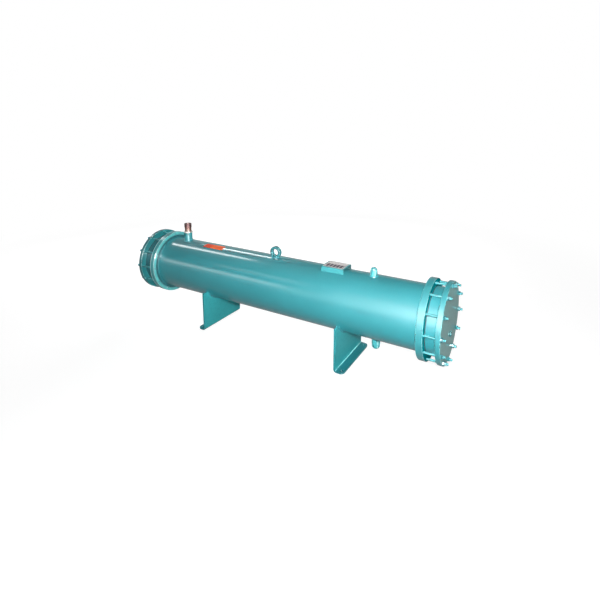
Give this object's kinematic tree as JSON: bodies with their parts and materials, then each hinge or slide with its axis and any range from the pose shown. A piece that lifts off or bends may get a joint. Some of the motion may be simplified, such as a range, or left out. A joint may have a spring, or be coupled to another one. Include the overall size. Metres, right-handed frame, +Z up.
{
  "type": "shell and tube heat exchanger",
  "caption": "Horizontal water-cooled condenser: long round shell with bolted end channels, on two bent-plate saddles, with a copper gas stub, a lifting eye and blanked bosses.",
  "frame": {"origin": "on the floor, at the middle of the four saddle bolt holes", "axes": "+X along the shell to the return end, -Y the nameplate side, +Z up"},
  "size_m": [1.6704, 0.334, 0.5055],
  "materials": {
    "alkyd_enamel": "gloss",
    "copper_tube": "dull",
    "gasket_sheet": "matt",
    "bare_steel": "plain",
    "plate_face": "satin"
  },
  "bodies": {
    "root": {"shell": "alkyd_enamel", "left_tube_sheet": "alkyd_enamel", "right_tube_sheet": "alkyd_enamel", "left_channel_barrel": "alkyd_enamel", "right_channel_barrel": "alkyd_enamel", "left_cover": "alkyd_enamel", "right_cover": "alkyd_enamel", "left_studs": "alkyd_enamel", "right_studs": "alkyd_enamel", "left_nuts": "alkyd_enamel", "right_nuts": "alkyd_enamel", "left_saddle": "alkyd_enamel", "right_saddle": "alkyd_enamel", "lifting_eye": "alkyd_enamel", "gas_inlet_socket": "alkyd_enamel", "relief_boss": "alkyd_enamel", "relief_cap": "alkyd_enamel", "liquid_outlet_boss": "alkyd_enamel", "liquid_outlet_cap": "alkyd_enamel", "nameplate_bracket": "alkyd_enamel", "water_inlet_socket": "alkyd_enamel", "water_outlet_socket": "alkyd_enamel", "drain_plug": "alkyd_enamel", "gas_inlet_stub": "copper_tube", "tube_bundle": "copper_tube", "left_sheet_gasket": "gasket_sheet", "left_cover_gasket": "gasket_sheet", "right_sheet_gasket": "gasket_sheet", "right_cover_gasket": "gasket_sheet", "pass_partition": "bare_steel", "nameplate": "plate_face"}
  },
  "joints": []
}
